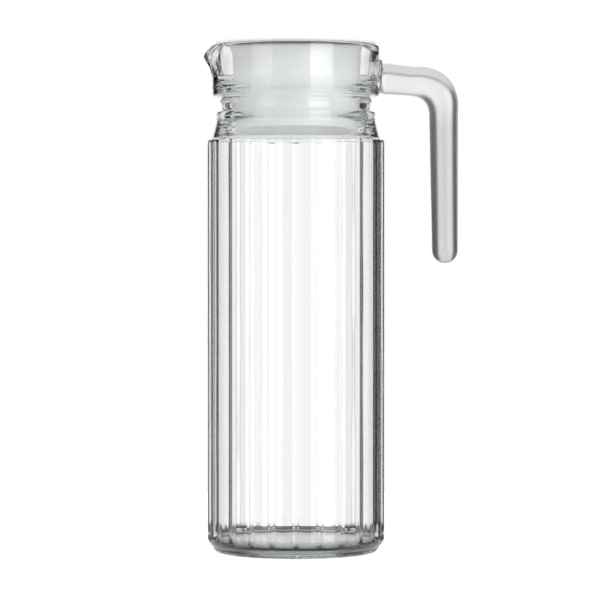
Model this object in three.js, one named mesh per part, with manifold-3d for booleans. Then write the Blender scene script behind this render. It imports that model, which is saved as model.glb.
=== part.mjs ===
// A glass fridge jug: ribbed vessel, fused glass handle, white lid with a soft ring under its flange.
// Millimetres, +Z up. The origin is on the vessel's axis, on the table.
// The handle points to +X, the lip to -X.
import * as THREE from "three";
import { mergeVertices } from "three/addons/utils/BufferGeometryUtils.js";
import Module from "manifold-3d";

// Vessel: heights, each measured on from the one below it
const BODY_HEIGHT = 206.2;
const SHOULDER_HEIGHT = 8.4;
const COLLAR_HEIGHT = 5;
const NECK_HEIGHT = 7.6;
const BAND_HEIGHT = 25.4;

// Vessel: the ribs' outside radius, how far the foot is set in from it,
// how far each level above is set in from the one below it, and the band's step out from the neck
const BODY_RADIUS = 44.4;
const FOOT_INSET = 4.7;
const SHOULDER_INSET = 2.5;
const COLLAR_INSET = 2.2;
const NECK_INSET = 2.5;
const BAND_STEP = 4.5;

// Vessel: glass thickness, the body's from the bottom of a groove between ribs
const BODY_WALL = 3.2;
const SHOULDER_WALL = 3.5;
const COLLAR_WALL = 4.4;
const NECK_WALL = 5;
const RIM_WALL = 3.5;
const BAND_FOOT_WALL = 5.9;
const FLOOR_THICKNESS = 5;

// Vessel: foot, ribs, bead and roundings
const FOOT_WIDTH = 5;
const BASE_RECESS = 1.2;
const FOOT_ROUND = 0.8;
const HEEL_HEIGHT = 5.8;
const HEEL_ROUND = 3;
const FLOOR_ROUND = 3.8;
const SHOULDER_FLOW_RISE = 1.3;
const SHOULDER_FLOW_ROUND = 3;
const NECK_FLOW_SINK = 0.6;
const NECK_FLOW_ROUND = 4;
const RIB_COUNT = 24;
const RIB_DEPTH = 0.7;
const RIB_SHARPNESS = 3;
const RIB_TOP_FALL = 4.6;
const RIB_TOP_LEDGE = 1;
const RIB_TOP_CHAMFER = 0.7;
const RIB_TOP_ROUND = 1;
const BEAD_RISE = 1.1;
const BEAD_HEIGHT = 2.6;
const BEAD_BELOW_BAND = 1.1;
const EDGE_ROUND = 1.4;
const INNER_CORNER_ROUND = 0.7;
const INNER_STEP = 6;

// Pouring lip: how far it reaches past the band, drops below the rim and runs down the band
const LIP_REACH = 4.9;
const LIP_DROP = 5.4;
const LIP_LENGTH = 14.5;
const LIP_HALF_ANGLE = 22;
const LIP_FOOT_SHARE = 0.4;
const LIP_REACH_POWER = 1.2;
const LIP_DROP_POWER = 1.4;

// Handle: a bar of rounded section that tapers to its tip.
// Its thickness is seen from the side, and its width from the front.
const HANDLE_ROOT_THICKNESS = 15.2;
const HANDLE_THICKNESS = 14.3;
const HANDLE_TIP_THICKNESS = 12.7;
const HANDLE_WIDTH = 16;
const HANDLE_SQUARENESS = 3.4;
const HANDLE_REACH = 39.1;
const HANDLE_BELOW_RIM = 16.1;
const HANDLE_ARM_FALL = 1.6;
const HANDLE_BEND = 16;
const HANDLE_BEND_SWELL = 2.2;
const HANDLE_TIP_BELOW_RIM = 108.5;
const WELD_RIM = 1.4;
const WELD_SINK = 2;
const WELD_LENGTH = 0.8;
const WELD_TAPER = 1.6;

// Lid: thickness of the moulding, flange, skirt, pouring window and sunk grip
const LID_WALL = 1.8;
const FLANGE_THICKNESS = 1.5;
const FLANGE_INSET = 1.7;
const FLANGE_ROUND = 0.6;
const FLANGE_FOOT_ROUND = 0.3;
const SKIRT_DEPTH = 41;
const SKIRT_FLARE = 1;
const SKIRT_FOOT_ROUND = 0.6;
const WINDOW_TOP_WIDTH = 24.6;
const WINDOW_FOOT_WIDTH = 33;
const WINDOW_BELOW_SEAL = 1.8;
const GRIP_INSET = 8.2;
const GRIP_DEPTH = 15;
const GRIP_FLOOR_ROUND = 1.8;
const GRIP_BAR_WIDTH = 7;
const GRIP_BAR_SINK = 0.5;

// Soft ring under the flange, and the bead of the skirt that holds it up
const SEAL_HEIGHT = 1.4;
const SEAL_ROUND = 0.5;
const SEAL_BEAD_RISE = 0.8;
const SEAL_BEAD_HEIGHT = 3;

// Clearances
const WELD_GAP = 0.3;
const LID_SEAT_GAP = 0.2;
const LID_SIDE_GAP = 0.5;
const SEAL_GAP = 0.3;

// Fineness: facets across a rib, rows down the lip, length and most steps of a rounding,
// sides of the bar, and steps in its bend and tip
const RIB_FACETS = 3;
const LIP_ROWS = 4;
const ROUNDING_STEP = 1.6;
const ROUNDING_MOST_STEPS = 4;
const HANDLE_SIDES = 20;
const BEND_STEPS = 8;
const TIP_STEPS = 4;
const ROUND_FACETS = RIB_COUNT * RIB_FACETS;

// Levels
const shoulderTop = BODY_HEIGHT + SHOULDER_HEIGHT;
const collarTop = shoulderTop + COLLAR_HEIGHT;
const bandFoot = collarTop + NECK_HEIGHT;
const rimTop = bandFoot + BAND_HEIGHT;
const lipFoot = rimTop - LIP_LENGTH;

// Outside radii of the vessel
const footRadius = BODY_RADIUS - FOOT_INSET;
const shoulderRadius = BODY_RADIUS - SHOULDER_INSET;
const collarRadius = shoulderRadius - COLLAR_INSET;
const neckRadius = collarRadius - NECK_INSET;
const bandRadius = neckRadius + BAND_STEP;

// Inside radii of the vessel
const bodyBore = BODY_RADIUS - RIB_DEPTH - BODY_WALL;
const neckBore = neckRadius - NECK_WALL;
const rimBore = bandRadius - RIM_WALL;
const bandFootBore = bandRadius - BAND_FOOT_WALL;

// The band's inside narrows evenly from the rim to the step above the neck.
const stepTop = bandFoot + INNER_STEP;
const bandBoreAt = (z) => THREE.MathUtils.mapLinear(z, stepTop, rimTop, bandFootBore, rimBore);

const wasm = await Module();
wasm.setup();

// A geometry with only its positions, and with shared vertices merged
function welded(geometry) {
  const bare = geometry.clone();
  bare.deleteAttribute("normal");
  bare.deleteAttribute("uv");
  return mergeVertices(bare, 1e-4);
}

function toSolid(geometry) {
  const closed = welded(geometry);
  const vertProperties = new Float32Array(closed.attributes.position.array);
  const triVerts = new Uint32Array(closed.index.array);
  return new wasm.Manifold(new wasm.Mesh({ numProp: 3, vertProperties, triVerts }));
}

function toGeometry(solid) {
  const { vertProperties, triVerts } = solid.getMesh();
  const geometry = new THREE.BufferGeometry();
  geometry.setAttribute("position", new THREE.BufferAttribute(vertProperties, 3));
  geometry.setIndex(new THREE.BufferAttribute(triVerts, 1));
  return geometry;
}

// Corners [radius, height, rounding] as an outline.
// A rounding reaches at most to the middle of the shorter side beside it.
function outline(corners) {
  const points = corners.map(([radius, height]) => new THREE.Vector2(radius, height));
  const line = [points[0]];
  for (let i = 1; i < points.length - 1; i++) {
    const corner = points[i];
    const before = points[i - 1].clone().sub(corner);
    const after = points[i + 1].clone().sub(corner);
    const cut = Math.min(corners[i][2] ?? 0, before.length() / 2, after.length() / 2);
    const start = corner.clone().add(before.setLength(cut));
    const end = corner.clone().add(after.setLength(cut));
    const steps = Math.min(Math.ceil(cut / ROUNDING_STEP), ROUNDING_MOST_STEPS);
    const round = new THREE.QuadraticBezierCurve(start, corner, end);
    line.push(...(steps === 0 ? [corner] : round.getPoints(steps)));
  }
  return [...line, points.at(-1)];
}

// An outline turned once round the Z axis
function turned(corners, facets) {
  return new THREE.LatheGeometry(outline(corners), facets).rotateX(Math.PI / 2);
}

// Each vertex of a turned geometry moved in radius and height by a rule of radius, angle and height
function reshaped(geometry, rule) {
  const position = geometry.attributes.position;
  const point = new THREE.Vector3();
  for (let i = 0; i < position.count; i++) {
    point.fromBufferAttribute(position, i);
    const angle = Math.atan2(point.y, point.x);
    const [radius, height] = rule(Math.hypot(point.x, point.y), angle, point.z);
    position.setXYZ(i, radius * Math.cos(angle), radius * Math.sin(angle), height);
  }
  return geometry;
}

// Ribs are rounded across and meet in grooves, which run out where the body turns in at heel and top.
function ribbed(radius, angle) {
  const pitch = (2 * Math.PI) / RIB_COUNT;
  const across = Math.abs(2 * THREE.MathUtils.euclideanModulo(angle / pitch, 1) - 1);
  return Math.min(radius, BODY_RADIUS - RIB_DEPTH * across ** RIB_SHARPNESS);
}

// The lip is drawn out and down from the rim, and narrows to its foot on the band.
function drawnOut(radius, angle, height) {
  const rise = THREE.MathUtils.clamp((height - lipFoot) / LIP_LENGTH, 0, 1);
  const halfAngle = LIP_HALF_ANGLE * THREE.MathUtils.lerp(LIP_FOOT_SHARE, 1, rise);
  const across = Math.min((180 - Math.abs(THREE.MathUtils.radToDeg(angle))) / halfAngle, 1);
  const share = Math.cos((across * Math.PI) / 2) ** 2;
  const reach = LIP_REACH * share * rise ** LIP_REACH_POWER;
  const drop = LIP_DROP * share ** LIP_DROP_POWER * rise;
  return [radius + reach, height - drop];
}

function vesselGeometry() {
  const footInside = footRadius - FOOT_WIDTH;
  const beadTop = bandFoot - BEAD_BELOW_BAND;
  const beadFoot = beadTop - BEAD_HEIGHT;
  const beadMiddle = (beadTop + beadFoot) / 2;
  const lipRows = Array.from({ length: LIP_ROWS }, (_, row) => lipFoot + (row / LIP_ROWS) * LIP_LENGTH);
  const outside = [
    [0, BASE_RECESS],
    [footInside - BASE_RECESS, BASE_RECESS, BASE_RECESS],
    [footInside, 0, FOOT_ROUND],
    [footRadius, 0, FOOT_ROUND],
    [BODY_RADIUS, HEEL_HEIGHT, HEEL_ROUND],
    [BODY_RADIUS, BODY_HEIGHT - RIB_TOP_FALL, RIB_TOP_ROUND],
    [BODY_RADIUS - RIB_TOP_CHAMFER, BODY_HEIGHT - RIB_TOP_LEDGE, RIB_TOP_ROUND],
    [shoulderRadius, BODY_HEIGHT, INNER_CORNER_ROUND],
    [collarRadius, shoulderTop, EDGE_ROUND],
    [collarRadius, collarTop, EDGE_ROUND],
    [neckRadius, collarTop, INNER_CORNER_ROUND],
    [neckRadius, beadFoot],
    [neckRadius + BEAD_RISE, beadMiddle, BEAD_HEIGHT / 2],
    [neckRadius, beadTop],
    [neckRadius, bandFoot, INNER_CORNER_ROUND],
    [bandRadius, bandFoot, EDGE_ROUND],
    ...lipRows.map((height) => [bandRadius, height]),
    [bandRadius, rimTop, EDGE_ROUND],
  ];
  const inside = [
    [rimBore, rimTop, EDGE_ROUND],
    ...lipRows.toReversed().map((height) => [bandBoreAt(height), height]),
    [bandFootBore, stepTop, INNER_STEP],
    [neckBore, bandFoot, INNER_STEP],
    [neckBore, collarTop - NECK_FLOW_SINK, NECK_FLOW_ROUND],
    [collarRadius - COLLAR_WALL, shoulderTop, SHOULDER_FLOW_ROUND],
    [shoulderRadius - SHOULDER_WALL, BODY_HEIGHT + SHOULDER_FLOW_RISE, SHOULDER_FLOW_ROUND],
    [bodyBore, BODY_HEIGHT - SHOULDER_FLOW_RISE, SHOULDER_FLOW_ROUND],
    [bodyBore, FLOOR_THICKNESS, FLOOR_ROUND],
    [0, FLOOR_THICKNESS],
  ];
  const plain = turned([...outside, ...inside], ROUND_FACETS);
  return reshaped(plain, (radius, angle, height) => drawnOut(ribbed(radius, angle), angle, height));
}

// Rings of the same number of points joined into one closed skin that ends in a point at each end
function lofted(rings, startPoint, endPoint) {
  const sides = rings[0].length;
  const points = [...rings.flat(), startPoint, endPoint];
  const first = points.length - 2;
  const last = points.length - 1;
  const lastRing = (rings.length - 1) * sides;
  const triangles = [];
  for (let side = 0; side < sides; side++) {
    const next = (side + 1) % sides;
    triangles.push(first, next, side);
    triangles.push(last, lastRing + side, lastRing + next);
    for (let from = 0; from < lastRing; from += sides) {
      const to = from + sides;
      triangles.push(from + side, from + next, to + next, from + side, to + next, to + side);
    }
  }
  return new THREE.BufferGeometry().setFromPoints(points).setIndex(triangles);
}

// The bar's section: an oval drawn towards a rectangle, thickness along x and width along y
function handleSection(thickness, width) {
  const drawn = (share) => Math.sign(share) * Math.abs(share) ** (2 / HANDLE_SQUARENESS);
  return Array.from({ length: HANDLE_SIDES }, (_, side) => {
    const turn = ((side + 0.5) / HANDLE_SIDES) * 2 * Math.PI;
    return new THREE.Vector2((thickness / 2) * drawn(Math.cos(turn)), (width / 2) * drawn(Math.sin(turn)));
  });
}

// A section at a point of the bar, square to the way the bar runs
function handleRing(at, way, thickness, width) {
  const outward = new THREE.Vector3(0, 1, 0).cross(way).normalize();
  return handleSection(thickness, width).map((p) => at.clone().addScaledVector(outward, p.x).setY(p.y));
}

// The bar runs out from the band's wall, round the bend and down, with its outer face upright.
function handleGeometry() {
  const outerX = bandRadius + HANDLE_REACH;
  const gripX = outerX - HANDLE_THICKNESS / 2;
  const rootHeight = rimTop - HANDLE_BELOW_RIM;
  const armHeight = rootHeight - HANDLE_ARM_FALL;
  const root = new THREE.Vector3(bandRadius - WELD_SINK, 0, rootHeight);
  const armEnd = new THREE.Vector3(gripX - HANDLE_BEND, 0, armHeight);
  const corner = new THREE.Vector3(gripX, 0, armHeight);
  const gripTop = new THREE.Vector3(gripX, 0, armHeight - HANDLE_BEND);
  const tip = new THREE.Vector3(outerX - HANDLE_TIP_THICKNESS / 2, 0, rimTop - HANDLE_TIP_BELOW_RIM);
  const arm = new THREE.LineCurve3(root, armEnd);
  const bend = new THREE.QuadraticBezierCurve3(armEnd, corner, gripTop);
  const grip = new THREE.LineCurve3(gripTop, tip);
  const alongArm = (length) => arm.getPointAt(length / arm.getLength());
  const weldEnd = WELD_SINK + WELD_LENGTH;
  const weldThickness = HANDLE_ROOT_THICKNESS + 2 * WELD_RIM;
  const weldWidth = HANDLE_WIDTH + 2 * WELD_RIM;
  const rings = [
    handleRing(root, arm.getTangent(0), weldThickness, weldWidth),
    handleRing(alongArm(weldEnd), arm.getTangent(0), weldThickness, weldWidth),
    handleRing(alongArm(weldEnd + WELD_TAPER), arm.getTangent(0), HANDLE_ROOT_THICKNESS, HANDLE_WIDTH),
  ];
  for (let step = 0; step <= BEND_STEPS; step++) {
    const share = step / BEND_STEPS;
    const thickness = HANDLE_THICKNESS + HANDLE_BEND_SWELL * Math.sin(share * Math.PI);
    rings.push(handleRing(bend.getPoint(share), bend.getTangent(share), thickness, HANDLE_WIDTH));
  }
  const roundLength = HANDLE_TIP_THICKNESS / 2;
  for (let step = 0; step < TIP_STEPS; step++) {
    const turn = (step / TIP_STEPS) * (Math.PI / 2);
    const fromTip = roundLength * (1 - Math.sin(turn));
    const inset = HANDLE_TIP_THICKNESS * (1 - Math.cos(turn));
    const at = grip.getPointAt(1 - fromTip / grip.getLength());
    rings.push(handleRing(at, grip.getTangent(1), HANDLE_TIP_THICKNESS - inset, HANDLE_WIDTH - inset));
  }
  const bar = toSolid(lofted(rings, root, tip));
  const cutRadius = bandRadius + WELD_GAP;
  const band = new THREE.CylinderGeometry(cutRadius, cutRadius, 2 * rimTop, ROUND_FACETS);
  return toGeometry(bar.subtract(toSolid(band.rotateX(Math.PI / 2))));
}

// Lid levels and radii
const flangeFoot = rimTop + LID_SEAT_GAP;
const lidTop = flangeFoot + FLANGE_THICKNESS;
const skirtFoot = rimTop - SKIRT_DEPTH;
const skirtRadius = neckBore - LID_SIDE_GAP;
const skirtTopRadius = skirtRadius + SKIRT_FLARE;
const gripRadius = skirtRadius - GRIP_INSET;
const gripFloor = lidTop - GRIP_DEPTH;
const wellRadius = gripRadius + LID_WALL;
const wellFoot = gripFloor - LID_WALL;
const sealTop = flangeFoot - SEAL_GAP;
const sealFoot = sealTop - SEAL_HEIGHT;
const sealBeadTop = sealFoot - SEAL_GAP;
const sealBeadFoot = sealBeadTop - SEAL_BEAD_HEIGHT;

// The skirt narrows evenly from the ring's bead to the vessel's neck.
const skirtOutsideAt = (z) => THREE.MathUtils.mapLinear(z, stepTop, sealBeadTop, skirtRadius, skirtTopRadius);

function lidGeometry() {
  const flangeRadius = bandRadius - FLANGE_INSET;
  const moulding = turned(
    [
      [0, wellFoot],
      [wellRadius, wellFoot, GRIP_FLOOR_ROUND + LID_WALL],
      [wellRadius, flangeFoot],
      [skirtTopRadius - LID_WALL, flangeFoot],
      [skirtTopRadius - LID_WALL, sealBeadTop],
      [skirtRadius - LID_WALL, stepTop],
      [skirtRadius - LID_WALL, skirtFoot],
      [skirtRadius, skirtFoot, SKIRT_FOOT_ROUND],
      [skirtRadius, stepTop],
      [skirtOutsideAt(sealBeadFoot), sealBeadFoot],
      [skirtTopRadius + SEAL_BEAD_RISE, sealBeadTop],
      [skirtTopRadius, sealBeadTop],
      [skirtTopRadius, flangeFoot],
      [flangeRadius, flangeFoot, FLANGE_FOOT_ROUND],
      [flangeRadius, lidTop, FLANGE_ROUND],
      [gripRadius, lidTop, FLANGE_ROUND],
      [gripRadius, gripFloor, GRIP_FLOOR_ROUND],
      [0, gripFloor],
    ],
    ROUND_FACETS,
  );
  // The bar's ends and foot lie half-way into the well's wall.
  const barHeight = GRIP_DEPTH - GRIP_BAR_SINK + LID_WALL / 2;
  const bar = new THREE.BoxGeometry(2 * gripRadius + LID_WALL, GRIP_BAR_WIDTH, barHeight);
  bar.translate(0, 0, lidTop - GRIP_BAR_SINK - barHeight / 2);
  return toGeometry(toSolid(moulding).add(toSolid(bar)).subtract(windowSolid()));
}

// The pouring window is a wedge that opens downwards, cut through the skirt below the ring on the lip's side.
// It goes round the grip's well, half-way between the well and the skirt.
function windowSolid() {
  const top = sealBeadFoot - WINDOW_BELOW_SEAL;
  const foot = skirtFoot - LID_WALL;
  const shape = new THREE.Shape([
    new THREE.Vector2(-WINDOW_FOOT_WIDTH / 2, foot),
    new THREE.Vector2(WINDOW_FOOT_WIDTH / 2, foot),
    new THREE.Vector2(WINDOW_TOP_WIDTH / 2, top),
    new THREE.Vector2(-WINDOW_TOP_WIDTH / 2, top),
  ]);
  const wedge = new THREE.ExtrudeGeometry(shape, { depth: bandRadius, bevelEnabled: false });
  // The outline stands up in the YZ plane, and the cut runs out from the axis along -X.
  wedge.rotateX(Math.PI / 2).rotateZ(-Math.PI / 2);
  const keptRadius = (wellRadius + skirtRadius - LID_WALL) / 2;
  const keptFoot = wellFoot - LID_WALL;
  const kept = new THREE.CylinderGeometry(keptRadius, keptRadius, lidTop - keptFoot, ROUND_FACETS);
  kept.rotateX(Math.PI / 2).translate(0, 0, (lidTop + keptFoot) / 2);
  return toSolid(wedge).subtract(toSolid(kept));
}

function sealGeometry() {
  const inside = skirtTopRadius + SEAL_GAP;
  const outsideTop = bandBoreAt(sealTop) - SEAL_GAP;
  const outsideFoot = bandBoreAt(sealFoot) - SEAL_GAP;
  const ring = [
    [inside, sealFoot],
    [outsideFoot, sealFoot, SEAL_ROUND],
    [outsideTop, sealTop, SEAL_ROUND],
    [inside, sealTop],
    [inside, sealFoot],
  ];
  return turned(ring, ROUND_FACETS);
}

const jug = new THREE.Group();

function addPiece(name, geometry, look) {
  const piece = new THREE.Mesh(geometry, new THREE.MeshStandardMaterial(look));
  piece.name = name;
  jug.add(piece);
}

const clearGlass = { color: 0xeef4f1, roughness: 0.04, metalness: 0, transparent: true, opacity: 0.35 };
addPiece("glass_vessel", vesselGeometry(), clearGlass);
addPiece("glass_handle", handleGeometry(), clearGlass);
addPiece("lid", lidGeometry(), { color: 0xeef0f3, roughness: 0.38, metalness: 0 });
addPiece("lid_seal", sealGeometry(), { color: 0xe6e8ea, roughness: 0.55, metalness: 0 });

export default jug;
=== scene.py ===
# %% [markdown]
# # A ribbed glass fridge jug
#
# The jug is a tall vessel of pressed glass with 24 upright ribs, a pouring lip, a bar of glass
# for a handle, and a white lid that is pushed into the mouth with a soft ring under its flange.
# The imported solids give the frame. Each solid is replaced here by a finer mesh in the same place,
# because clear glass shows every facet: light bends at each surface, so the curves have to be smooth.
# Lengths on the jug are written in millimetres and turned into Blender's metres by MM.

import math

import bpy
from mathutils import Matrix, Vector


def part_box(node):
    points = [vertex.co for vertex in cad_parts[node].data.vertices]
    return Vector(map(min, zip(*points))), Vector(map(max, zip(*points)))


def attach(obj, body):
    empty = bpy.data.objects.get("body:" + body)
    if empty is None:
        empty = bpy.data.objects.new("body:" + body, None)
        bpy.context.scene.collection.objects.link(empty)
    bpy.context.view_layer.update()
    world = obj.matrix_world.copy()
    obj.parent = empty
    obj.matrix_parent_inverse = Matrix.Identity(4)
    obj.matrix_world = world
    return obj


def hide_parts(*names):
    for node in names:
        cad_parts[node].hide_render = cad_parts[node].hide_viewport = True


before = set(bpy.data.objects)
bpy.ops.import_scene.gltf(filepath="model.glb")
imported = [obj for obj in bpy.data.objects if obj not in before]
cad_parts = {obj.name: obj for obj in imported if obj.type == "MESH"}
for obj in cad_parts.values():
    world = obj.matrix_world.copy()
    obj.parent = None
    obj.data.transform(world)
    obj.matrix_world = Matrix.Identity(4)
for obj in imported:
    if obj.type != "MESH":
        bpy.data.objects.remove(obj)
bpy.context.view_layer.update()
MM = 0.001

# %% [markdown]
# ## Camera
#
# The jug was photographed from a step and a half away with a long lens, a little above its middle.
# A long lens keeps the rims almost flat ovals.
# The camera tips down by about a degree, so no lens shift is needed.

# %% Place the camera
PHOTO_PIXELS = 600
FOCAL_PIXELS = 2930
SENSOR_WIDTH = 36.0
CAMERA_DISTANCE = 1465 * MM
CAMERA_HEIGHT = 154 * MM
CAMERA_SIDE = 2 * MM
CAMERA_TIP = 1.11

camera_data = bpy.data.cameras.new("camera")
camera_data.sensor_width = SENSOR_WIDTH
camera_data.lens = FOCAL_PIXELS / PHOTO_PIXELS * SENSOR_WIDTH
camera = bpy.data.objects.new("camera", camera_data)
camera.location = (CAMERA_SIDE, -CAMERA_DISTANCE, CAMERA_HEIGHT)
camera.rotation_euler = (math.radians(90 - CAMERA_TIP), 0, 0)
scene = bpy.context.scene
scene.collection.objects.link(camera)
scene.camera = camera
scene.view_settings.view_transform = "Standard"
print("lens in mm:", round(camera_data.lens, 1))

# %% [markdown]
# ## Bounces
#
# A ray that goes straight through the body meets four glass surfaces,
# and many rays bounce about inside the wall, the base or the handle as well.
# With too few bounces those paths stop in black, so the limits go up.

# %% Let light through many glass surfaces
MOST_BOUNCES = 32
GLOSSY_BOUNCES = 12
scene.cycles.max_bounces = MOST_BOUNCES
scene.cycles.transmission_bounces = MOST_BOUNCES
scene.cycles.transparent_max_bounces = MOST_BOUNCES
scene.cycles.glossy_bounces = GLOSSY_BOUNCES
print("a ray may pass", MOST_BOUNCES, "glass surfaces")

# %% [markdown]
# ## Outlines turned on an axis
#
# The vessel, the lid and the ring are all round, so each starts as half of its outline.
# One vertex is extruded from point to point along that outline, and the spin tool turns the line
# through one sector. The sector is then copied round the axis, so all sectors are alike.
# The corners of the outline are listed with a rounding each, as a mould maker would draw them.

# %% Round the corners of an outline
def rounded_outline(corners, steps):
    """Corners (radius, height, rounding) in mm as a line of points, with a curve for each rounding."""
    points = [Vector((radius, 0, height)) * MM for radius, height, _ in corners]
    line = [points[0]]
    for index in range(1, len(points) - 1):
        corner = points[index]
        to_before = points[index - 1] - corner
        to_after = points[index + 1] - corner
        cut = min(corners[index][2] * MM, to_before.length / 2, to_after.length / 2)
        if cut == 0:
            line.append(corner)
            continue
        start = corner + to_before.normalized() * cut
        end = corner + to_after.normalized() * cut
        for step in range(steps + 1):
            share = step / steps
            line.append(start.lerp(corner, share).lerp(corner.lerp(end, share), share))
    line.append(points[-1])
    return line


def divided(line, longest):
    """The same line with points added, so that no stretch is longer than a length in mm."""
    points = [line[0]]
    for here, there in zip(line, line[1:]):
        count = max(1, math.ceil((there - here).length / (longest * MM)))
        points += [here.lerp(there, part / count) for part in range(1, count + 1)]
    return points


# %% Spin an outline into a piece
DOUBLES_WITHIN = 0.005


def clean_mesh():
    """In edit mode: merges doubled vertices and turns all faces outwards."""
    bpy.ops.mesh.select_all(action="SELECT")
    bpy.ops.mesh.remove_doubles(threshold=DOUBLES_WITHIN * MM)
    bpy.ops.mesh.normals_make_consistent(inside=False)


def spun(name, line, sectors, columns):
    """A new piece: a line extruded from one vertex, spun into a sector that is copied round."""
    bpy.ops.object.select_all(action="DESELECT")
    bpy.ops.mesh.primitive_plane_add(size=MM)
    piece = bpy.context.object
    piece.name = name
    piece.data.name = name
    bpy.ops.object.mode_set(mode="EDIT")
    bpy.ops.mesh.merge(type="CENTER")
    bpy.ops.transform.translate(value=line[0])
    for here, there in zip(line, line[1:]):
        bpy.ops.mesh.extrude_region_move(TRANSFORM_OT_translate={"value": there - here})
    sector = 2 * math.pi / sectors
    bpy.ops.mesh.select_all(action="SELECT")
    bpy.ops.mesh.spin(steps=columns, angle=sector, center=(0, 0, 0), axis=(0, 0, 1))
    bpy.ops.mesh.select_all(action="SELECT")
    rest = sectors - 1
    bpy.ops.mesh.spin(steps=rest, angle=rest * sector, dupli=True, center=(0, 0, 0), axis=(0, 0, 1))
    clean_mesh()
    bpy.ops.object.mode_set(mode="OBJECT")
    print(name, "has", len(piece.data.vertices), "vertices and", len(piece.data.polygons), "faces")
    return piece


# %% [markdown]
# ## Pushing parts of a mesh
#
# Ribs, lip and the slight waviness of pressed glass are all pushes of some vertices and not of others.
# A vertex group holds how much each vertex moves, from 0 to 1, and a Displace modifier moves them.

# %% Weigh vertices
def clamp(value):
    return min(max(value, 0.0), 1.0)


def weigh(piece, group_name, rule):
    """A vertex group on the piece with the weight that the rule gives for each vertex's place in mm."""
    group = piece.vertex_groups.new(name=group_name)
    for vertex in piece.data.vertices:
        weight = rule(vertex.co / MM)
        if weight > 0:
            group.add([vertex.index], weight, "REPLACE")


# %% Displace what was weighed
def displace(piece, group_name, strength, direction="NORMAL", texture=None):
    """Moves the group's vertices by a strength in mm, all of it or as much as a texture says."""
    bpy.ops.object.select_all(action="DESELECT")
    piece.select_set(True)
    bpy.context.view_layer.objects.active = piece
    bpy.ops.object.modifier_add(type="DISPLACE")
    push = piece.modifiers[-1]
    push.vertex_group = group_name
    push.strength = strength * MM
    push.direction = direction
    push.mid_level = 0.0
    if texture is not None:
        push.texture = texture
        push.texture_coords = "LOCAL"
        # A middle grey of the texture leaves a vertex where it is
        push.mid_level = 0.5
    bpy.ops.object.modifier_apply(modifier=push.name)


def clouds(name, size):
    """A soft noise for Displace, with lumps of a size in mm."""
    texture = bpy.data.textures.new(name, "CLOUDS")
    texture.noise_scale = size * MM
    texture.noise_depth = 1
    return texture


# %% [markdown]
# ## Vessel
#
# The vessel is one pressing: a thick floor, a straight ribbed body, a plain shoulder, a collar,
# a neck with a bead, and a tall plain band at the mouth.
# Its outline goes up the outside and comes back down the inside, so the wall has its real thickness
# everywhere, which is what bends the light.

# %% Levels and radii of the outside
RIM_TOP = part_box("glass_vessel")[1].z / MM
BODY_TOP = 206.2
SHOULDER_TOP = 214.6
COLLAR_TOP = 219.6
BAND_FOOT = 227.2
BODY_RADIUS = 44.4
SHOULDER_RADIUS = 41.9
COLLAR_RADIUS = 39.7
NECK_RADIUS = 37.2
BAND_RADIUS = 41.7
EDGE_ROUND = 1.4
INNER_CORNER_ROUND = 0.7
BEAD_FOOT = 223.5
BEAD_TOP = 226.1
BEAD_RISE = 1.1
BEAD_FOOT_ROUND = 0.5
BEAD_ROUND = 1.3

upper_outside = [
    (SHOULDER_RADIUS, BODY_TOP, INNER_CORNER_ROUND),
    (COLLAR_RADIUS, SHOULDER_TOP, EDGE_ROUND),
    (COLLAR_RADIUS, COLLAR_TOP, EDGE_ROUND),
    (NECK_RADIUS, COLLAR_TOP, INNER_CORNER_ROUND),
    (NECK_RADIUS, BEAD_FOOT, BEAD_FOOT_ROUND),
    (NECK_RADIUS + BEAD_RISE, (BEAD_FOOT + BEAD_TOP) / 2, BEAD_ROUND),
    (NECK_RADIUS, BEAD_TOP, BEAD_FOOT_ROUND),
    (NECK_RADIUS, BAND_FOOT, INNER_CORNER_ROUND),
    (BAND_RADIUS, BAND_FOOT, EDGE_ROUND),
    (BAND_RADIUS, RIM_TOP, EDGE_ROUND),
]
print("rim at", round(RIM_TOP, 1), "mm, body", 2 * BODY_RADIUS, "mm across")

# %% Foot, heel and underside
FOOT_RADIUS = 39.7
FOOT_INSIDE = 34.7
FOOT_ROUND = 0.8
BASE_RECESS = 1.2
RECESS_ROUND = 1.2
FOOT_HEIGHT = 1.7
FOOT_FLARE = 1.6
HEEL_FOOT = 2.3
HEEL_FOOT_FLARE = 1.7
HEEL_CREASE_ROUND = 0.3
HEEL_TOP = 5.8
HEEL_ROUND = 3

foot_corners = [
    (0, BASE_RECESS, 0),
    (FOOT_INSIDE - BASE_RECESS, BASE_RECESS, RECESS_ROUND),
    (FOOT_INSIDE, 0, FOOT_ROUND),
    (FOOT_RADIUS, 0, FOOT_ROUND),
    (FOOT_RADIUS + FOOT_FLARE, FOOT_HEIGHT, HEEL_CREASE_ROUND),
    (FOOT_RADIUS + HEEL_FOOT_FLARE, HEEL_FOOT, HEEL_CREASE_ROUND),
    (BODY_RADIUS, HEEL_TOP, HEEL_ROUND),
]
print("the foot ring is", round(FOOT_RADIUS - FOOT_INSIDE, 1), "mm wide")

# %% Top edge of the ribs
RIB_TOP_FALL = 3.5
RIB_TOP_LEDGE = 1.0
RIB_TOP_CHAMFER = 0.25
RIB_TOP_ROUND = 1
RIB_TOP_ROWS = 8

rib_top_corners = []
for row in range(RIB_TOP_ROWS - 1):
    way = row / RIB_TOP_ROWS
    rib_top_corners.append((
        BODY_RADIUS - RIB_TOP_CHAMFER * way,
        BODY_TOP - RIB_TOP_FALL + (RIB_TOP_FALL - RIB_TOP_LEDGE) * way,
        0,
    ))
rib_top_corners.append((BODY_RADIUS - RIB_TOP_CHAMFER, BODY_TOP - RIB_TOP_LEDGE, RIB_TOP_ROUND))
print("the ribs lean in by", RIB_TOP_CHAMFER, "mm at the top")

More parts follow.
